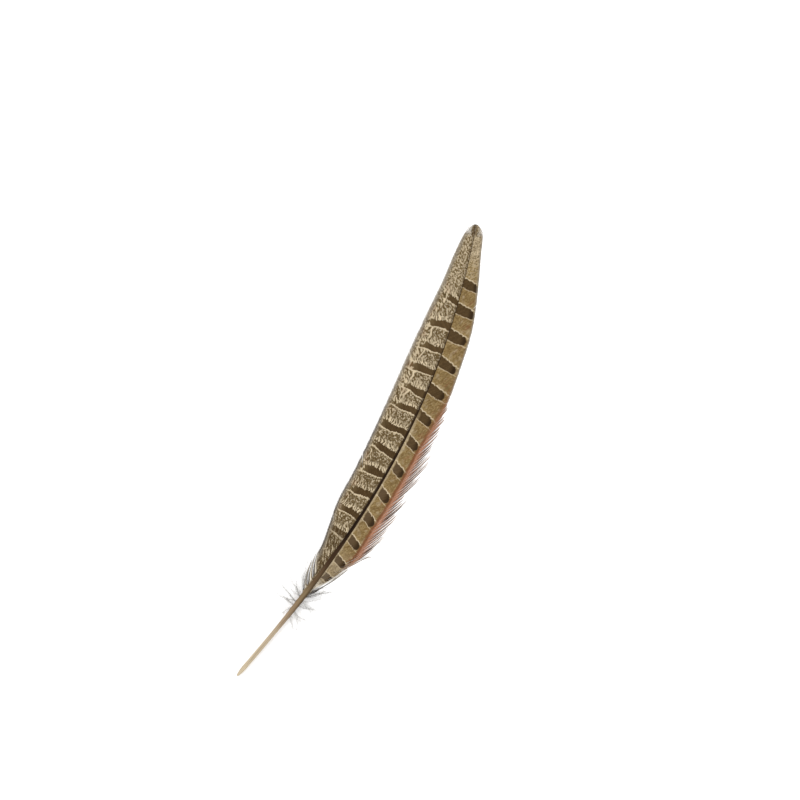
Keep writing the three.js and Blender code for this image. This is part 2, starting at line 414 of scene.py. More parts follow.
def make_web(name, web, template, material):
    rng = np.random.default_rng(web.seed)
    roots = np.arange(web.first_barb, LAST_BARB, BARB_SPACING)[:, None]
    count = len(roots)
    each = (count, 1)
    inner = 0.1 * shaft_width(roots)
    reach = barb_reach(web, roots, inner)
    share = template.share[None, :]

    # The loose hairs of the edge run in wisps of a few, and the first hairs of each wisp are dark. The barbs
    # of the foot hang together in bundles, each coloured by how far a barb is from the bundle's lower side.
    number = np.arange(count)
    firsts = np.cumsum(rng.choice((4, 5, 6, 7, 8), count))
    wisp = np.searchsorted(firsts, number, side="right")
    in_wisp = number - np.concatenate(([0], firsts))[wisp]
    dark = (in_wisp < rng.choice((2, 2, 3), count)[wisp])[:, None]
    in_bundles = (roots - roots[0]) / BUNDLE
    bundle = np.floor(in_bundles).astype(int)
    bundle_side = in_bundles - bundle
    if web.dark_edge:
        bundle_side = np.where(bundle == 0, 0.0, 0.4 + 0.6 * bundle_side)

    fringe = np.interp(roots, *np.array(web.fringe, float).T)
    loose_foot = soft_step(roots, *web.loose_foot)
    # Low on the web, some hairs are longer and stray out of it.
    low_down = soft_step(roots, 72, 64) * soft_step(roots, 52, 55) * (fringe > 0)
    stray = (rng.random(each) < STRAY_SHARE) * low_down
    stray = stray * rng.uniform(0.4, 1, each)
    change = rng.uniform(-0.08, 0.12, count)[wisp][:, None]
    change = change + rng.uniform(-0.04, 0.02, each) + STRAY_LENGTH * stray
    reach = reach * (1 + 0.006 * rng.normal(size=each) + change * np.maximum(fringe**2, loose_foot))
    out = inner + (reach - inner) * share
    smooth_along = roots + advance(web, out, roots)
    outline = np.maximum(web.outline(smooth_along), out)
    height = web_height(web, smooth_along, out / outline)
    surface = lay(smooth_along, web.side * out, height)
    normal = unit(np.cross(np.gradient(surface, axis=0), np.gradient(surface, axis=1))) * -web.side
    beside = np.gradient(surface, axis=0)
    ahead = unit(np.gradient(surface, axis=1))
    spacing = np.linalg.norm(beside - ahead * (beside * ahead).sum(-1, keepdims=True), axis=-1) / MM
    spacing = np.minimum(spacing, WIDEST_BARB)

    # Loose: 0 where neighbouring barbs are hooked together, and 1 where each is a hair of its own.
    start = web.bar_end(smooth_along) + 1.2 + 0.5 * rng.normal(size=each)
    loose_edge = fringe * soft_step(out, start, start + 2.6)
    loose_foot = loose_foot * soft_step(out, 1.4, 2.8)
    loose = np.maximum(loose_edge, loose_foot)

    gather = gathered(wisp, roots) * (0.15 + 0.45 * share**2) * loose_edge
    gather = gather + gathered(bundle[:, 0], roots) * 0.5 * loose_foot
    along = smooth_along + gather + rng.normal(0, 0.07, each) * loose
    along = along - 0.6 * stray * share**3 * advance(web, out, roots)
    ends = roots + advance(web, reach, roots)
    for place, gap in web.splits:
        away = ends - place
        along = along + np.sign(away) * gap * np.exp(-np.abs(away) / 2) * share**6
    lift = (rng.normal(0, 0.1, each) + 0.08 * dark) * loose * share
    height = np.maximum(height + lift, LOWEST_BARB * 0.6)
    path = lay(along, web.side * out, height)

    margin = soft_step(outline - out, web.margin, 0) * (1 - fringe)
    taper = np.sqrt(np.clip((1 - share) / (0.02 + 0.2 * loose), 0, 1))
    closed = BARB_HALF_WIDTH * spacing * (1 - 0.3 * margin)
    hair = closed * (0.92 + 0.25 * rng.random(each) + 0.3 * dark)
    half_width = (closed + (hair - closed) * loose) * taper * (1 - 0.4 * stray * share)
    above = (BARB_ABOVE + 0.02 * loose) * taper
    below = BARB_BELOW * taper
    places = sweep(template, path, normal, half_width, above, below)

    ring = template.ring
    jitter = rng.normal(0, 0.11, each)
    zone = out / web.bar_end(smooth_along)
    level = smooth_along + jitter - web.rise(smooth_along) * zone**web.rise_power
    values = {
        "along": (smooth_along + jitter)[:, ring],
        "out": out[:, ring],
        "bar_count": web.count(level)[:, ring],
        "zone": zone[:, ring],
        "to_edge": (outline - out)[:, ring],
        "fringe": fringe,
        "loose_foot": loose_foot[:, ring],
        "tone": rng.random(each),
        "hair": np.where(dark, 0.0, 0.4) + rng.uniform(0, 0.6, each) * np.where(dark, 0.5, 1),
        "bundle": bundle_side,
        "rim": np.abs(template.around[:, 0])[None],
    }
    piece = join_strands(name, template, places, values)
    piece.data.materials.append(material)
    return piece


# --- Down ---

# The strands that stand out: where each leaves the shaft, a place it passes and its end, as distances along
# the shaft and out from it, then how dark it is and how many run together there.
RIGHT_STRANDS = (
    (50.0, (57.2, 6.2), (63.6, 14.1), 0.95, 3), (51.0, (54.0, 4.2), (58.6, 6.8), 1.0, 5),
    (53.5, (57.0, 6.0), (60.5, 9.2), 0.8, 2), (54.6, (61.0, 6.3), (67.0, 10.2), 0.35, 2),
    (45.6, (47.9, 6.6), (51.5, 9.8), 0.75, 3), (46.4, (48.6, 9.0), (50.3, 15.4), 0.3, 2),
    (42.8, (41.8, 6.8), (45.7, 13.6), 0.5, 3), (42.4, (38.6, 5.6), (35.0, 8.0), 0.45, 2),
    (39.6, (37.0, 3.6), (35.1, 5.4), 0.3, 2), (48.2, (51.5, 5.0), (56.8, 8.4), 0.5, 2),
)
LEFT_STRANDS = (
    (44.8, (44.5, 3.8), (44.5, 6.6), 0.9, 3), (43.3, (40.4, 2.2), (37.8, 2.9), 0.4, 2),
    (46.4, (47.5, 6.4), (48.6, 12.6), 0.7, 4), (47.6, (43.9, 7.4), (43.3, 13.2), 0.35, 4),
    (49.6, (52.0, 5.0), (56.6, 9.0), 0.9, 3), (51.8, (55.8, 4.4), (59.6, 6.2), 0.6, 2),
    (53.4, (57.0, 4.6), (65.2, 8.3), 0.8, 3), (51.4, (52.6, 6.6), (54.1, 11.0), 0.35, 2),
    (55.5, (61.0, 4.9), (69.5, 6.9), 0.9, 3),
)
FINE_STRANDS = 12  # more, placed at random
DOWN_ROOTS = (38, 57)
BARBULES = 64  # on each strand
ROOT_OUT = 0.7  # a strand starts this far out, inside the shaft
STRAND_RADIUS = 0.062
BARBULE_RADIUS = 0.017
DOWN_TAPER = 0.75  # how much thinner a strand is at its tip, as a share
BARBULE_TONE = 0.8  # how dark barbules are, as a share of their strand's darkness


def strand_paths(strands, side, template, rng):
    """Middle lines of a tuft's strands in the row frame, and how dark each strand is."""
    wanted = []
    for root, passed, end, dark, beside in strands:
        for number in range(beside):
            spread = rng.normal(0, 0.22 if number else 0, (3, 2))
            length = 1.07 if number == 0 else rng.uniform(0.75, 1.07)
            ends = np.array(((root, ROOT_OUT), passed, end)) + spread * (1, 0.6)
            wanted.append((*(ends[0] + (ends - ends[0]) * length), dark * (1 if number == 0 else 0.75)))
    for _ in range(FINE_STRANDS):
        root = rng.uniform(*DOWN_ROOTS)
        reach = rng.uniform(6, 14.5)
        lean = (root - 46) / 9 + rng.normal(0, 0.4)
        passed = (root + reach * (0.3 * lean + 0.03), reach * 0.5)
        end = (root + reach * (0.8 * lean + rng.normal(0, 0.25)), reach)
        wanted.append((*np.array(((root, ROOT_OUT), passed, end)), rng.uniform(0, 0.35)))
    roots, passed, ends = (np.array([strand[part] for strand in wanted])[:, None] for part in range(3))
    pulls = 2 * passed - (roots + ends) / 2
    share = template.share[None, :, None]
    flat = (1 - share) ** 2 * roots + 2 * share * (1 - share) * pulls + share**2 * ends
    along, out = flat[..., 0], flat[..., 1]
    share = share[..., 0]
    count = len(wanted)
    start = station(along[:, :1])[0][..., 2]
    end = rng.uniform(0.35, 2.4, (count, 1))
    rise = rng.uniform(-0.4, 0.8, (count, 1))
    height = np.maximum(start + (end - start) * share + 4 * rise * share * (1 - share), 0.15)
    wave = np.sin(share * rng.uniform(6, 13, (count, 1)) + rng.uniform(0, 6, (count, 1))) * share
    darks = np.array([strand[3] for strand in wanted])[:, None]
    return lay(along + 0.2 * wave, side * out, height), darks


def barbule_paths(paths, darks, template, rng):
    """Short fine strands that stand off both sides of each strand, shorter towards its tip."""
    count = len(paths)
    steps = paths.shape[1] - 1
    at = rng.uniform(0.06, 0.98, (count, BARBULES))
    low = np.floor(at * steps).astype(int)
    part = (at * steps - low)[..., None]
    rows = np.arange(count)[:, None]
    roots = paths[rows, low] * (1 - part) + paths[rows, low + 1] * part
    ahead = unit(paths[rows, low + 1] - paths[rows, low])
    sign = np.where(rng.random((count, BARBULES)) < 0.5, -1.0, 1.0)[..., None]
    beside = unit(np.cross(np.broadcast_to(UP, ahead.shape), ahead)) * sign
    lifted = unit(beside + UP * rng.uniform(-0.25, 0.5, sign.shape))
    length = rng.uniform(0.7, 1.8, sign.shape) * np.sqrt(1 - 0.6 * at)[..., None] * MM
    share = template.share
    forward_part = ahead[..., None, :] * (length * (0.55 * share + 0.4 * share**2))[..., None]
    side_part = lifted[..., None, :] * (length * (0.75 * share - 0.1 * share**2))[..., None]
    fine = roots[..., None, :] + forward_part + side_part
    fine[..., 2] = np.maximum(fine[..., 2], 0.05 * MM)
    return fine.reshape(-1, len(share), 3), np.repeat(darks, BARBULES, axis=0)


def make_down(name, strands, side, seed, material):
    rng = np.random.default_rng(seed)
    paths, darks = strand_paths(strands, side, DOWN_TEMPLATE, rng)
    fine, fine_darks = barbule_paths(paths, darks, BARBULE_TEMPLATE, rng)
    made = []
    for part, template, rows, tones, thick in (
        ("strands", DOWN_TEMPLATE, paths, darks, STRAND_RADIUS),
        ("barbules", BARBULE_TEMPLATE, fine, fine_darks * BARBULE_TONE, BARBULE_RADIUS),
    ):
        share = template.share[None, :]
        radius = np.repeat(thick * (1 - DOWN_TAPER * share), len(rows), axis=0)
        places = sweep(template, rows, np.broadcast_to(UP, rows.shape), radius, radius, radius)
        values = {"tone": tones, "from_root": share[:, template.ring]}
        piece = join_strands(f"{name}_{part}", template, places, values)
        piece.data.materials.append(material)
        made.append(piece)
    return made


# --- Shaft ---

SHAFT_SIDES = 28
SHAFT_RINGS = 400


def shaft_place(x, y, along):
    """Where a point of a cylinder's side goes: x to the right and y upwards, both from -1 to 1."""
    middle, forward, right = station(np.array(along))
    upward = np.cross(right, forward)
    rachis = soft_step(along, RACHIS_FROM, RACHIS_FULL)
    from_below = abs(math.atan2(x, -y))
    groove = GROOVE_DEPTH * rachis * math.exp(-((from_below / GROOVE_SPREAD) ** 2))
    rounding = math.sqrt(1 - POINT_ROUNDING * max(0.0, 1 - along / POINT_LENGTH) ** 2)
    half = shaft_width(along) / 2 * (1 - groove) * rounding
    depth = 1 + (RACHIS_DEPTH - 1) * rachis
    place = middle + right * x * half + upward * y * half * depth + ORIGIN
    place[2] = max(place[2], 0.0)
    return place * MM


def make_shaft(name, material):
    """A cylinder that is drawn out along the middle line, with a small hole in the quill's end."""
    bm = bmesh.new()
    bmesh.ops.create_cone(bm, cap_ends=True, segments=SHAFT_SIDES, radius1=1, radius2=1, depth=1)
    long_edges = [edge for edge in bm.edges if abs(edge.verts[0].co.z - edge.verts[1].co.z) > 0.5]
    bmesh.ops.subdivide_edges(bm, edges=long_edges, cuts=SHAFT_RINGS, use_grid_fill=True)
    end = min(bm.faces, key=lambda face: face.calc_center_median().z)
    bmesh.ops.inset_region(bm, faces=[end], thickness=HOLE_RIM)
    hole = bmesh.ops.extrude_discrete_faces(bm, faces=[end])["faces"]
    bmesh.ops.translate(bm, verts=hole[0].verts, vec=(0, 0, HOLE_DEPTH / SHAFT_LENGTH))
    layers = {key: bm.verts.layers.float.new(key) for key in ("along", "side", "top")}
    for vertex in bm.verts:
        x, y, z = vertex.co
        along = (z + 0.5) * SHAFT_LENGTH
        for key, value in (("along", along), ("side", x), ("top", y)):
            vertex[layers[key]] = value
        vertex.co = shaft_place(x, y, along)
    bmesh.ops.recalc_face_normals(bm, faces=bm.faces)
    mesh = mesh_from(bm, name)
    mesh.shade_smooth()
    mesh.set_sharp_from_angle(angle=math.radians(50))
    mesh.materials.append(material)
    return add_object(name, mesh)


# --- Nodes ---


class Nodes:
    """Adds nodes to one tree. Each call gives back the output that the new node makes."""

    def __init__(self, tree):
        self.tree = tree

    def plug(self, socket, value):
        if isinstance(value, bpy.types.NodeSocket):
            self.tree.links.new(value, socket)
        else:
            socket.default_value = value

    def add(self, kind, inputs, output=0, **settings):
        node = self.tree.nodes.new(kind)
        for key, value in settings.items():
            setattr(node, key, value)
        for socket, value in inputs.items():
            self.plug(node.inputs[socket], value)
        return node.outputs[output]

    def group(self, tree, **inputs):
        """Puts a group in this tree, and gives back its outputs by name."""
        node = self.tree.nodes.new("ShaderNodeGroup")
        node.node_tree = tree
        for key, value in inputs.items():
            self.plug(node.inputs[key], value)
        return node.outputs

    def math(self, operation, a, b=0.0):
        return self.add("ShaderNodeMath", {0: a, 1: b}, operation=operation)

    def plus(self, a, b):
        return self.math("ADD", a, b)

    def minus(self, a, b):
        return self.math("SUBTRACT", a, b)

    def times(self, a, b):
        return self.math("MULTIPLY", a, b)

    def both(self, *masks):
        """Where all the masks are 1."""
        made = masks[0]
        for mask in masks[1:]:
            made = self.times(made, mask)
        return made

    def either(self, a, b):
        return self.math("MAXIMUM", a, b)

    def flip(self, mask):
        return self.minus(1.0, mask)

    def step(self, value, start, end):
        """0 at start, 1 at end, and smooth between them."""
        places = {"Value": value, "From Min": start, "From Max": end}
        return self.add("ShaderNodeMapRange", places, interpolation_type="SMOOTHSTEP")

    def blend(self, share, a, b):
        """A number between a and b."""
        return self.add("ShaderNodeMix", {0: share, 2: a, 3: b}, data_type="FLOAT")

    def mix(self, share, a, b):
        """A colour between a and b."""
        return self.add("ShaderNodeMix", {0: share, 6: a, 7: b}, output=2, data_type="RGBA")

    def paint(self, colour, layer, *masks):
        """A colour with another laid over it, as strongly as all the masks multiplied."""
        return self.mix(self.both(*masks), colour, layer)

    def value(self, name):
        """A number that the mesh carries."""
        return self.add("ShaderNodeAttribute", {}, output="Fac", attribute_name=name)

    def place(self, x, y, z=0.0):
        return self.add("ShaderNodeCombineXYZ", {0: x, 1: y, 2: z})

    def noise(self, place, scale, detail=1.0, distortion=0.0):
        inputs = {"Vector": place, "Scale": scale, "Detail": detail, "Distortion": distortion}
        return self.add("ShaderNodeTexNoise", inputs, output="Fac")


def make_group(name, inputs, outputs, build):
    """A node group. inputs gives each name's default, a number or a colour, and build gives its outputs."""
    tree = bpy.data.node_groups.new(name, "ShaderNodeTree")
    for key, default in inputs.items():
        kind = "NodeSocketColor" if isinstance(default, tuple) else "NodeSocketFloat"
        tree.interface.new_socket(name=key, in_out="INPUT", socket_type=kind).default_value = default
    for key, kind in outputs.items():
        tree.interface.new_socket(name=key, in_out="OUTPUT", socket_type=kind)
    given = tree.nodes.new("NodeGroupInput").outputs
    result = tree.nodes.new("NodeGroupOutput").inputs
    for key, socket in build(Nodes(tree), given).items():
        tree.links.new(socket, result[key])
    return tree


def build_spots(n, given):
    """Cream spots, drawn out along the barbs. Size is about the distance between two of them."""
    across = n.minus(given["Out"], n.times(given["Along"], given["Lean"]))
    place = n.place(n.times(given["Along"], given["Stretch"]), across, given["Layer"])
    field = n.noise(place, n.math("DIVIDE", 1.5, given["Size"]), detail=0.7, distortion=0.35)
    edge = n.minus(0.5, n.minus(given["Cover"], 0.5))
    return {"Spots": n.step(field, n.minus(edge, 0.035), n.plus(edge, 0.035))}


def build_bars(n, given):
    """Where the bars are. Up is 0 at a bar's tip side and rises to the base side of the next bar."""
    up = n.math("FRACT", n.minus(given["Count"], BAR_SHARE / 2))
    over_bar = n.minus(up, given["Tip lobes"])
    under_bar = n.minus(n.plus(1 - BAR_SHARE, given["Base lift"]), up)
    bar = n.either(n.step(under_bar, 0.008, -0.008), n.step(over_bar, 0.008, -0.008))
    inside = n.flip(bar)
    tip_line = n.both(inside, n.step(over_bar, given["Tip line"], n.times(given["Tip line"], 0.5)))
    base_line = n.both(inside, n.step(under_bar, given["Base line"], n.times(given["Base line"], 0.5)))
    return {"Up": up, "Over bar": over_bar, "Bar": bar, "Tip line": tip_line, "Base line": base_line}


def build_barb_tone_and_shade(n, given):
    """Small differences from barb to barb, painted shade in the seams between them, and the paler underside.
    """
    uneven = n.times(n.minus(n.value("tone"), 0.5), given["Unevenness"])
    # Painted shade: each barb darkens towards its side edges, where it meets its neighbours.
    seam_shade = n.times(n.step(n.value("rim"), 0.45, 1.0), given["Seam shade"])
    light = n.times(n.plus(uneven, 1.0), n.flip(seam_shade))
    toned = n.add("ShaderNodeVectorMath", {0: given["Colour"], "Scale": light}, operation="SCALE")
    return {"Colour": n.paint(toned, given["Underside"], n.value("under"), 0.55)}


VALUE, COLOUR = "NodeSocketFloat", "NodeSocketColor"
spots_group = make_group(
    "cream_spots",
    {"Along": 0.0, "Out": 0.0, "Layer": 0.0, "Size": 1.3, "Lean": 0.4, "Stretch": 0.8, "Cover": 0.5},
    {"Spots": VALUE},
    build_spots,
)
bars_group = make_group(
    "bars",
    {"Count": 0.0, "Tip lobes": 0.0, "Base lift": 0.0, "Tip line": 0.05, "Base line": 0.04},
    {"Up": VALUE, "Over bar": VALUE, "Bar": VALUE, "Tip line": VALUE, "Base line": VALUE},
    build_bars,
)
barb_tone_and_shade_group = make_group(
    "barb_tone_and_shade",
    {"Colour": (0.5, 0.5, 0.5, 1.0), "Unevenness": 0.24, "Seam shade": 0.24, "Underside": srgb(178, 168, 150)},
    {"Colour": COLOUR},
    build_barb_tone_and_shade,
)

DARK_BAR = srgb(74, 56, 33)
WORN_BAR = srgb(96, 77, 50)
FADED_BAR = srgb(96, 78, 57)
DARKEST = srgb(44, 30, 17)
DARK_GROUND = srgb(88, 71, 44)
GROUND = srgb(120, 102, 72)
CREAM = srgb(210, 193, 162)
PALE_CREAM = srgb(194, 178, 150)
DARK_TAN = srgb(112, 88, 50)
LIGHT_TAN = srgb(158, 136, 94)
RUST = srgb(124, 78, 50)
PINK = srgb(180, 131, 105)
PALE_PINK = srgb(198, 156, 136)
DARK_HAIR = srgb(68, 48, 38)
PALE_HAIR = srgb(220, 200, 183)
MARGIN = srgb(150, 140, 124)
PALE_FOOT = srgb(228, 220, 204)
BROWN_FOOT = srgb(134, 120, 100)
DOWN_PALE = srgb(224, 222, 218)
DOWN_DARK = srgb(58, 52, 48)
QUILL_STREAK = srgb(60, 42, 26)
SHAFT_PAINTED_SHADE = srgb(66, 49, 28)
BUMP_HEIGHT = 0.0001  # in metres


def new_material(name, roughness, specular):
    material = bpy.data.materials.new(name)
    material.use_nodes = True
    shader = material.node_tree.nodes["Principled BSDF"]
    shader.inputs["Roughness"].default_value = roughness
    shader.inputs["Specular IOR Level"].default_value = specular
    return material, Nodes(material.node_tree), shader


def roughen(n, shader, height, strength):
    settings = {"Height": height, "Strength": strength, "Distance": BUMP_HEIGHT}
    n.plug(shader.inputs["Normal"], n.add("ShaderNodeBump", settings, output="Normal"))


def finish_barbs(n, shader, colour):
    n.plug(shader.inputs["Base Color"], n.group(barb_tone_and_shade_group, Colour=colour)["Colour"])
    place = n.place(n.value("along"), n.value("out"))
    roughen(n, shader, n.noise(place, 6.0, detail=2.0), 0.2)


def cream_spots(n, size, layer, cover, stretch=0.8):
    where = {"Along": n.value("along"), "Out": n.value("out"), "Layer": layer}
    return n.group(spots_group, Size=size, Cover=cover, Stretch=stretch, **where)["Spots"]


def tip_patch(n, along, out, uneven, outer, inner):
    """A ragged patch beside the shaft at the feather's very tip."""
    beside_shaft = n.step(n.plus(out, n.times(uneven, 2.0)), outer, inner)
    return n.both(n.step(along, 246.5, 249.0), beside_shaft)


def paint_foot(n, colour):
    """Bundles of loose barbs at a web's foot, each nearly black at one side, then cream, then greyish."""
    loose = n.step(n.value("loose_foot"), 0.05, 0.4)
    bundle = n.plus(n.value("bundle"), n.times(n.minus(n.value("tone"), 0.5), 0.2))
    foot = n.mix(n.step(bundle, 0.2, 0.35), DOWN_DARK, PALE_FOOT)
    foot = n.mix(n.step(bundle, 0.68, 0.83), foot, BROWN_FOOT)
    return n.paint(colour, foot, loose, 0.92)


def broad_web_material():
    """Dark bars, each with a clean cream line below it, and cream spots on brown between them."""
    material, n, shader = new_material("barred_broad_web", 0.65, 0.06)
    along, out, zone, count = n.value("along"), n.value("out"), n.value("zone"), n.value("bar_count")
    place = n.place(along, out)
    uneven = n.minus(n.noise(place, 0.3), 0.5)
    small_noise = n.noise(place, 1.1)
    wander = n.minus(n.noise(place, 0.14, detail=0.0), 0.5)

    # Cream drops hang down onto each bar.
    across = n.minus(out, n.times(along, 0.25))
    tooth = n.math("PINGPONG", n.plus(n.math("DIVIDE", across, 1.25), n.times(uneven, 3.4)), 0.5)
    drop = n.step(n.plus(tooth, n.times(n.minus(small_noise, 0.5), 0.7)), 0.1, 0.32)
    lobes = n.plus(n.times(n.flip(drop), 0.05), n.times(n.minus(small_noise, 0.5), 0.14))
    bars = n.group(bars_group, **{
        "Count": n.plus(count, n.times(wander, 0.3)),
        "Tip lobes": lobes,
        "Base lift": n.times(uneven, 0.1),
        "Tip line": 0.04,
        "Base line": 0.075,
    })
    up, over_bar = bars["Up"], bars["Over bar"]

    # The lower half of the web has fewer spots, and so is darker.
    lower = n.times(n.step(along, 162.0, 135.0), 0.045)
    fine = cream_spots(n, 1.05, 3.0, n.minus(0.455, lower))
    coarse = cream_spots(n, 1.5, 9.0, n.minus(0.475, lower), stretch=0.6)
    low = n.step(up, 0.4, 0.15)
    outer = n.step(n.plus(zone, n.times(uneven, 0.4)), 0.86, 0.95)
    outermost = n.step(n.value("to_edge"), 3.0, 1.8)
    texture = n.blend(n.both(n.either(low, outer), n.flip(outermost)), fine, coarse)
    ground = n.mix(n.step(small_noise, 0.35, 0.65), DARK_GROUND, GROUND)
    light = n.mix(n.either(low, outer), PALE_CREAM, CREAM)
    panel = n.paint(ground, light, texture, 0.88)

    # Close above a bar, the spots are long drops with dark gaps between them.
    near = n.step(over_bar, 0.24, 0.12)
    panel = n.paint(panel, DARK_GROUND, n.flip(drop), near, n.step(over_bar, 0.0, 0.03))
    panel = n.paint(panel, CREAM, drop, near, 0.9)

    # In the upper half of the feather a cream line closes off the inner part of each panel.
    windows = n.both(n.step(along, 150.0, 165.0), n.step(along, 210.0, 200.0), n.step(up, 0.12, 0.3))
    off = n.math("ABSOLUTE", n.minus(n.plus(zone, n.times(uneven, 0.3)), n.blend(up, 0.9, 0.8)))
    panel = n.paint(panel, DARK_GROUND, windows, n.step(off, 0.12, 0.07), 0.6)
    panel = n.paint(panel, CREAM, windows, n.step(off, 0.055, 0.03), 0.95)
    rusty = n.both(n.step(n.noise(place, 0.2, detail=0.0), 0.5, 0.66), n.step(zone, 0.75, 1.05))
    panel = n.paint(panel, RUST, rusty, 0.22)
    line_fades = n.step(zone, 1.35, 1.15)
    panel = n.paint(panel, CREAM, bars["Base line"], line_fades, 0.95)

    reaches = n.step(n.plus(zone, n.times(uneven, 0.5)), 1.02, 0.92)
    counted = n.both(n.step(count, LAST_BAR + 0.45, LAST_BAR + 0.35), n.step(count, 0.4, 0.5))
    bar = n.both(bars["Bar"], reaches, counted)
    streaks = n.noise(n.place(n.times(along, 0.7), n.times(across, 2.5)), 1.0)
    bar_colour = n.paint(DARK_BAR, WORN_BAR, n.step(streaks, 0.4, 0.75), 0.55)
    bar_colour = n.paint(bar_colour, WORN_BAR, n.step(along, 145.0, 165.0), 0.45)
    bar_colour = n.paint(bar_colour, GROUND, n.step(zone, 0.65, 1.0), 0.45)
    barred = n.mix(bar, panel, bar_colour)

    # Towards the tip there are no bars, and the spots are fainter.
    tip_spots = cream_spots(n, 1.0, 20.0, 0.48, stretch=0.7)
    plain = n.paint(n.mix(0.5, ground, GROUND), CREAM, tip_spots, 0.75)
    painted = n.mix(n.step(count, LAST_BAR + 0.3, LAST_BAR + 0.55), barred, plain)

    # The foot of the web has long dark patches and thin cream streaks instead.
    beside_barbs = n.minus(out, n.times(along, 0.5))
    patch = n.noise(n.place(n.times(along, 0.35), n.times(beside_barbs, 0.8)), 1.0)
    thin = n.noise(n.place(n.times(along, 0.3), n.times(beside_barbs, 1.8), 5.0), 1.0)
    foot = n.step(along, 92.0, 76.0)
    painted = n.paint(painted, DARK_GROUND, foot, 0.6)
    painted = n.paint(painted, DARK_BAR, foot, n.step(patch, 0.42, 0.54), 0.7)
    painted = n.paint(painted, CREAM, foot, n.step(thin, 0.56, 0.64), 0.8)

    margin = n.step(n.plus(n.value("to_edge"), n.times(uneven, 1.5)), 2.6, 0.9)
    painted = n.paint(painted, MARGIN, margin, 0.75)
    edge_line = n.both(n.step(n.value("to_edge"), 1.1, 0.5), n.step(along, 168.0, 140.0))
    painted = n.paint(painted, DARKEST, edge_line, 0.75)
    # Painted shadow of the shaft, and a wider look for the dark rachis: the web is darkened close beside the
    # shaft, most strongly below about 170 mm.
    painted = n.paint(painted, DARK_BAR, n.step(out, 1.7, 0.6), 0.4)
    shaft_shadow_and_edge = n.both(n.step(out, 1.15, 0.75), n.step(along, 190.0, 150.0))
    painted = n.paint(painted, DARKEST, shaft_shadow_and_edge, 0.8)
    dark_tip = tip_patch(n, along, out, uneven, 1.5, 0.6)
    painted = n.paint(painted, DARK_BAR, dark_tip, 0.7)
    painted = paint_foot(n, painted)
    finish_barbs(n, shader, painted)
    return material


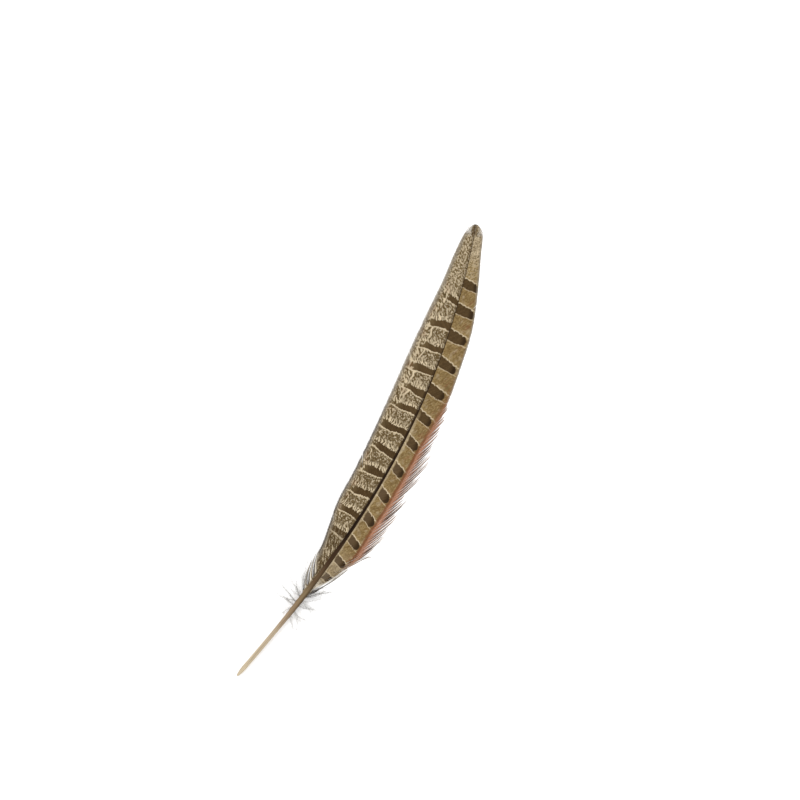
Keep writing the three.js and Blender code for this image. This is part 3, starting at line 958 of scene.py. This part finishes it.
def narrow_web_material():
    """Tan panels between dark bars with scalloped cream edges, then rust, pink and loose hairs."""
    material, n, shader = new_material("barred_narrow_web", 0.62, 0.06)
    along, out, zone, count = n.value("along"), n.value("out"), n.value("zone"), n.value("bar_count")
    place = n.place(along, out)
    wide_noise = n.noise(place, 0.3)
    uneven = n.minus(wide_noise, 0.5)
    # Grain and streaks run along the barbs.
    across = n.minus(out, n.times(along, 0.6))
    grain = n.noise(n.place(n.times(along, 0.8), n.times(across, 2.4)), 1.3, detail=2.0)
    streaks = n.noise(n.place(n.times(along, 0.16), n.times(across, 0.8)), 1.0)

    scallop = n.math("PINGPONG", n.plus(n.math("DIVIDE", out, 2.4), n.times(uneven, 1.6)), 0.5)
    lobes = n.times(n.math("SINE", n.times(scallop, math.pi)), 0.035)
    # Above the middle of the feather the bars narrow towards their outer ends.
    narrowing = n.both(n.step(along, 135.0, 165.0), n.times(zone, zone))
    bars = n.group(bars_group, **{
        "Count": count,
        "Tip lobes": lobes,
        "Base lift": n.plus(n.times(uneven, 0.1), n.times(narrowing, 0.07)),
        "Tip line": 0.055,
        "Base line": 0.035,
    })

    panel = n.mix(n.step(grain, 0.32, 0.62), DARK_TAN, LIGHT_TAN)
    panel = n.paint(panel, PALE_CREAM, n.step(wide_noise, 0.48, 0.34), 0.35)
    panel = n.paint(panel, DARK_TAN, n.step(streaks, 0.48, 0.62), 0.5)
    panel = n.paint(panel, DARK_TAN, n.step(n.noise(place, 0.7), 0.5, 0.6), 0.4)
    panel = n.paint(panel, PALE_CREAM, n.step(along, 84.0, 68.0), 0.45)
    panel = n.paint(panel, PALE_FOOT, n.step(along, 64.0, 59.0), 0.6)
    mottled = n.both(n.step(along, 78.0, 68.0), n.step(n.noise(place, 1.3), 0.48, 0.58))
    panel = n.paint(panel, WORN_BAR, mottled, 0.6)
    panel = n.paint(panel, LIGHT_TAN, n.step(bars["Up"], 0.3, 0.05), 0.3)
    rusty = n.both(n.step(zone, 0.4, 0.8), n.step(streaks, 0.44, 0.32))
    panel = n.paint(panel, RUST, rusty, 0.5)
    off_shaft = n.plus(out, n.times(uneven, 1.2))
    beside_shaft = n.both(n.step(off_shaft, 1.8, 1.1), n.step(along, 165.0, 145.0))
    panel = n.paint(panel, CREAM, beside_shaft, 0.4)
    panel = n.paint(panel, CREAM, bars["Tip line"], 0.92)
    panel = n.paint(panel, CREAM, bars["Base line"], 0.72)

    # Both corners of a bar's outer end are rounded off, and the lower one more.
    from_middle = n.minus(n.math("FRACT", n.plus(count, 0.5)), 0.5)
    corner = n.math("POWER", n.times(n.math("ABSOLUTE", n.minus(0.03, from_middle)), 6.0), 2.0)
    bar_end = n.plus(n.plus(zone, n.times(uneven, 0.25)), n.times(corner, 0.2))
    counted = n.step(count, LAST_BAR + 0.45, LAST_BAR + 0.35)
    bar = n.both(bars["Bar"], n.step(bar_end, 1.05, 1.0), counted, n.flip(beside_shaft))
    bar_colour = n.paint(DARK_BAR, WORN_BAR, n.step(grain, 0.3, 0.6), 0.5)
    worn = n.both(n.step(along, 155.0, 125.0), n.step(zone, 0.87, 0.42))
    faded = n.paint(FADED_BAR, MARGIN, n.step(along, 80.0, 66.0), 0.3)
    bar_colour = n.paint(bar_colour, faded, worn, 0.7)
    blackest = n.either(n.step(along, 72.0, 66.0), 0.75)
    bar_colour = n.paint(bar_colour, DARKEST, n.step(zone, 0.6, 0.95), blackest)

    # Above the last bar the web is grained in brown and cream, with faint spots.
    tip_spots = cream_spots(n, 1.3, 31.0, 0.5, stretch=0.7)
    tip_colour = n.mix(n.step(grain, 0.3, 0.5), DARK_GROUND, GROUND)
    tip_colour = n.paint(tip_colour, CREAM, n.step(grain, 0.42, 0.62), 0.7)
    tip_colour = n.paint(tip_colour, CREAM, tip_spots, 0.35)
    above_bars = n.mix(n.step(grain, 0.35, 0.65), GROUND, LIGHT_TAN)
    above_bars = n.paint(above_bars, CREAM, tip_spots, 0.35)
    above_bars = n.mix(n.step(along, 231.0, 240.0), above_bars, tip_colour)
    panel = n.mix(n.step(count, LAST_BAR + 0.22, LAST_BAR + 0.3), panel, above_bars)

    # Outside the bars the web turns rust, then pink, and ends in dark and pale hairs.
    fringe = n.value("fringe")
    shifted = n.plus(zone, n.times(uneven, 0.12))
    rusts = n.either(fringe, n.times(n.step(along, 180.0, 160.0), 0.5))
    painted = n.paint(panel, RUST, n.step(shifted, 0.98, 1.08), rusts, 0.85)
    painted = n.paint(painted, PINK, n.step(shifted, 1.14, 1.28), fringe, 0.9)
    painted = n.mix(bar, painted, bar_colour)
    hair = n.value("hair")
    paler = n.plus(n.times(n.step(shifted, 1.5, 1.85), 0.4), n.times(n.step(hair, 0.5, 0.9), 0.6))
    pale = n.mix(paler, PALE_PINK, PALE_HAIR)
    hairy = n.both(n.step(shifted, 1.3, 1.6), fringe)
    painted = n.paint(painted, n.mix(n.step(hair, 0.36, 0.4), DARK_HAIR, pale), hairy, 0.92)
    margin = n.both(n.step(n.value("to_edge"), 1.3, 0.4), n.flip(fringe))
    painted = n.paint(painted, MARGIN, margin, 0.7)
    dark_tip = tip_patch(n, along, out, uneven, 1.3, 0.5)
    painted = n.paint(painted, DARK_BAR, dark_tip, 0.65)
    painted = paint_foot(n, painted)
    finish_barbs(n, shader, painted)
    return material


def shaft_material():
    """A tan horny quill that turns brown where the webs start and is nearly black above; its right side has
    painted shade.
    """
    material, n, shader = new_material("horny_shaft", 0.4, 0.05)
    along, side, top = n.value("along"), n.value("side"), n.value("top")
    ramp = n.tree.nodes.new("ShaderNodeValToRGB")
    ramp.color_ramp.interpolation = "EASE"
    # Each stop's distance along the shaft, and its colour.
    stops = (
        (0, 200, 184, 156), (28, 180, 163, 138), (35, 158, 138, 114), (44, 138, 117, 92), (52, 124, 106, 79),
        (62, 94, 75, 54), (74, 55, 38, 24), (90, 24, 13, 5), (250, 38, 24, 12),
    )
    last = stops[-1][0]
    elements = ramp.color_ramp.elements
    for index, (where, *colour) in enumerate(stops):
        # A new ramp already has two stops.
        element = elements[index] if index < 2 else elements.new(where / last)
        element.position = where / last
        element.color = srgb(*colour)
    n.plug(ramp.inputs[0], n.math("DIVIDE", along, last))
    streaks = n.noise(n.place(n.times(along, 0.06), n.times(side, 2.5), n.times(top, 2.5)), 1.0, detail=3.0)
    colour = n.paint(ramp.outputs[0], QUILL_STREAK, n.step(streaks, 0.42, 0.68), 0.35)
    # Painted shade: the right half of the shaft is darkened from about 40 mm along it onwards, as if lit from
    # the left.
    shaded_right_side = n.both(n.step(side, 0.0, 0.8), n.step(along, 34.0, 48.0))
    colour = n.paint(colour, SHAFT_PAINTED_SHADE, shaded_right_side, 0.7)
    n.plug(shader.inputs["Base Color"], colour)
    roughen(n, shader, streaks, 0.3)
    return material


def down_material():
    """Grey-white down. The darker strands are darkest near the shaft."""
    material, n, shader = new_material("loose_down", 0.8, 0.1)
    dark = n.times(n.value("tone"), n.step(n.value("from_root"), 1.15, 0.2))
    n.plug(shader.inputs["Base Color"], n.mix(dark, DOWN_PALE, DOWN_DARK))
    return material


# --- The feather ---

BARB_TEMPLATE = strand_template("barb", sides=4, rings=15)
DOWN_TEMPLATE = strand_template("down_strand", sides=4, rings=12)
BARBULE_TEMPLATE = strand_template("barbule", sides=3, rings=4)


def place_on_frame(piece, slot, *nodes):
    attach(piece, "root")
    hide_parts(*nodes)


place_on_frame(make_shaft("quill_and_rachis", shaft_material()), "quill", "shaft")
broad_web = make_web("broad_web_barbs", BROAD, BARB_TEMPLATE, broad_web_material())
place_on_frame(broad_web, "broad_web", "broad_web")
narrow_web = make_web("narrow_web_barbs", NARROW, BARB_TEMPLATE, narrow_web_material())
place_on_frame(narrow_web, "narrow_web", "narrow_web")
down = down_material()
for tuft, strands, side, seed in (("down_left", LEFT_STRANDS, -1, 21), ("down_right", RIGHT_STRANDS, 1, 22)):
    for tuft_piece in make_down(tuft, strands, side, seed, down):
        place_on_frame(tuft_piece, "down", tuft)


# --- Floor, light and camera ---


def make_floor():
    bm = bmesh.new()
    place = Matrix.Translation((0, 0, -FLOOR_DROP))
    bmesh.ops.create_grid(bm, x_segments=1, y_segments=1, size=FLOOR_REACH, matrix=place)
    mesh = mesh_from(bm, "floor")
    material, _, shader = new_material("pale_glowing_floor", 0.9, 0.1)
    shader.inputs["Base Color"].default_value = srgb(250, 250, 250)
    # Painted light: the floor glows faintly, so that the soft shadows on it fade to white.
    shader.inputs["Emission Color"].default_value = (1, 1, 1, 1)
    shader.inputs["Emission Strength"].default_value = FLOOR_GLOW
    mesh.materials.append(material)
    add_object("floor", mesh)


def make_lamp(name, place, size, power):
    lamp = bpy.data.lights.new(name, "AREA")
    lamp.shape = "DISK"
    lamp.size = size
    lamp.energy = power
    holder = add_object(name, lamp)
    holder.location = place
    holder.rotation_euler = (-Vector(place)).to_track_quat("-Z", "Y").to_euler()


def make_camera():
    camera = bpy.data.cameras.new("camera")
    camera.lens = FOCAL_LENGTH
    camera.sensor_width = SENSOR_WIDTH
    holder = add_object("camera", camera)
    distance = FRAME_WIDTH * FOCAL_LENGTH / SENSOR_WIDTH
    holder.location = (ORIGIN + FRAME_CENTRE + UP * (distance + FEATHER_TOP)) * MM
    holder.rotation_euler = (0, 0, math.radians(FEATHER_LEAN))
    bpy.context.scene.camera = holder


def make_world():
    world = bpy.data.worlds.new("studio")
    world.use_nodes = True
    background = world.node_tree.nodes["Background"]
    background.inputs["Color"].default_value = (1, 1, 1, 1)
    background.inputs["Strength"].default_value = STUDIO_LIGHT
    bpy.context.scene.world = world


make_floor()
for lamp in LAMPS:
    make_lamp(*lamp)
make_world()
make_camera()
bpy.context.scene.view_settings.view_transform = "Standard"
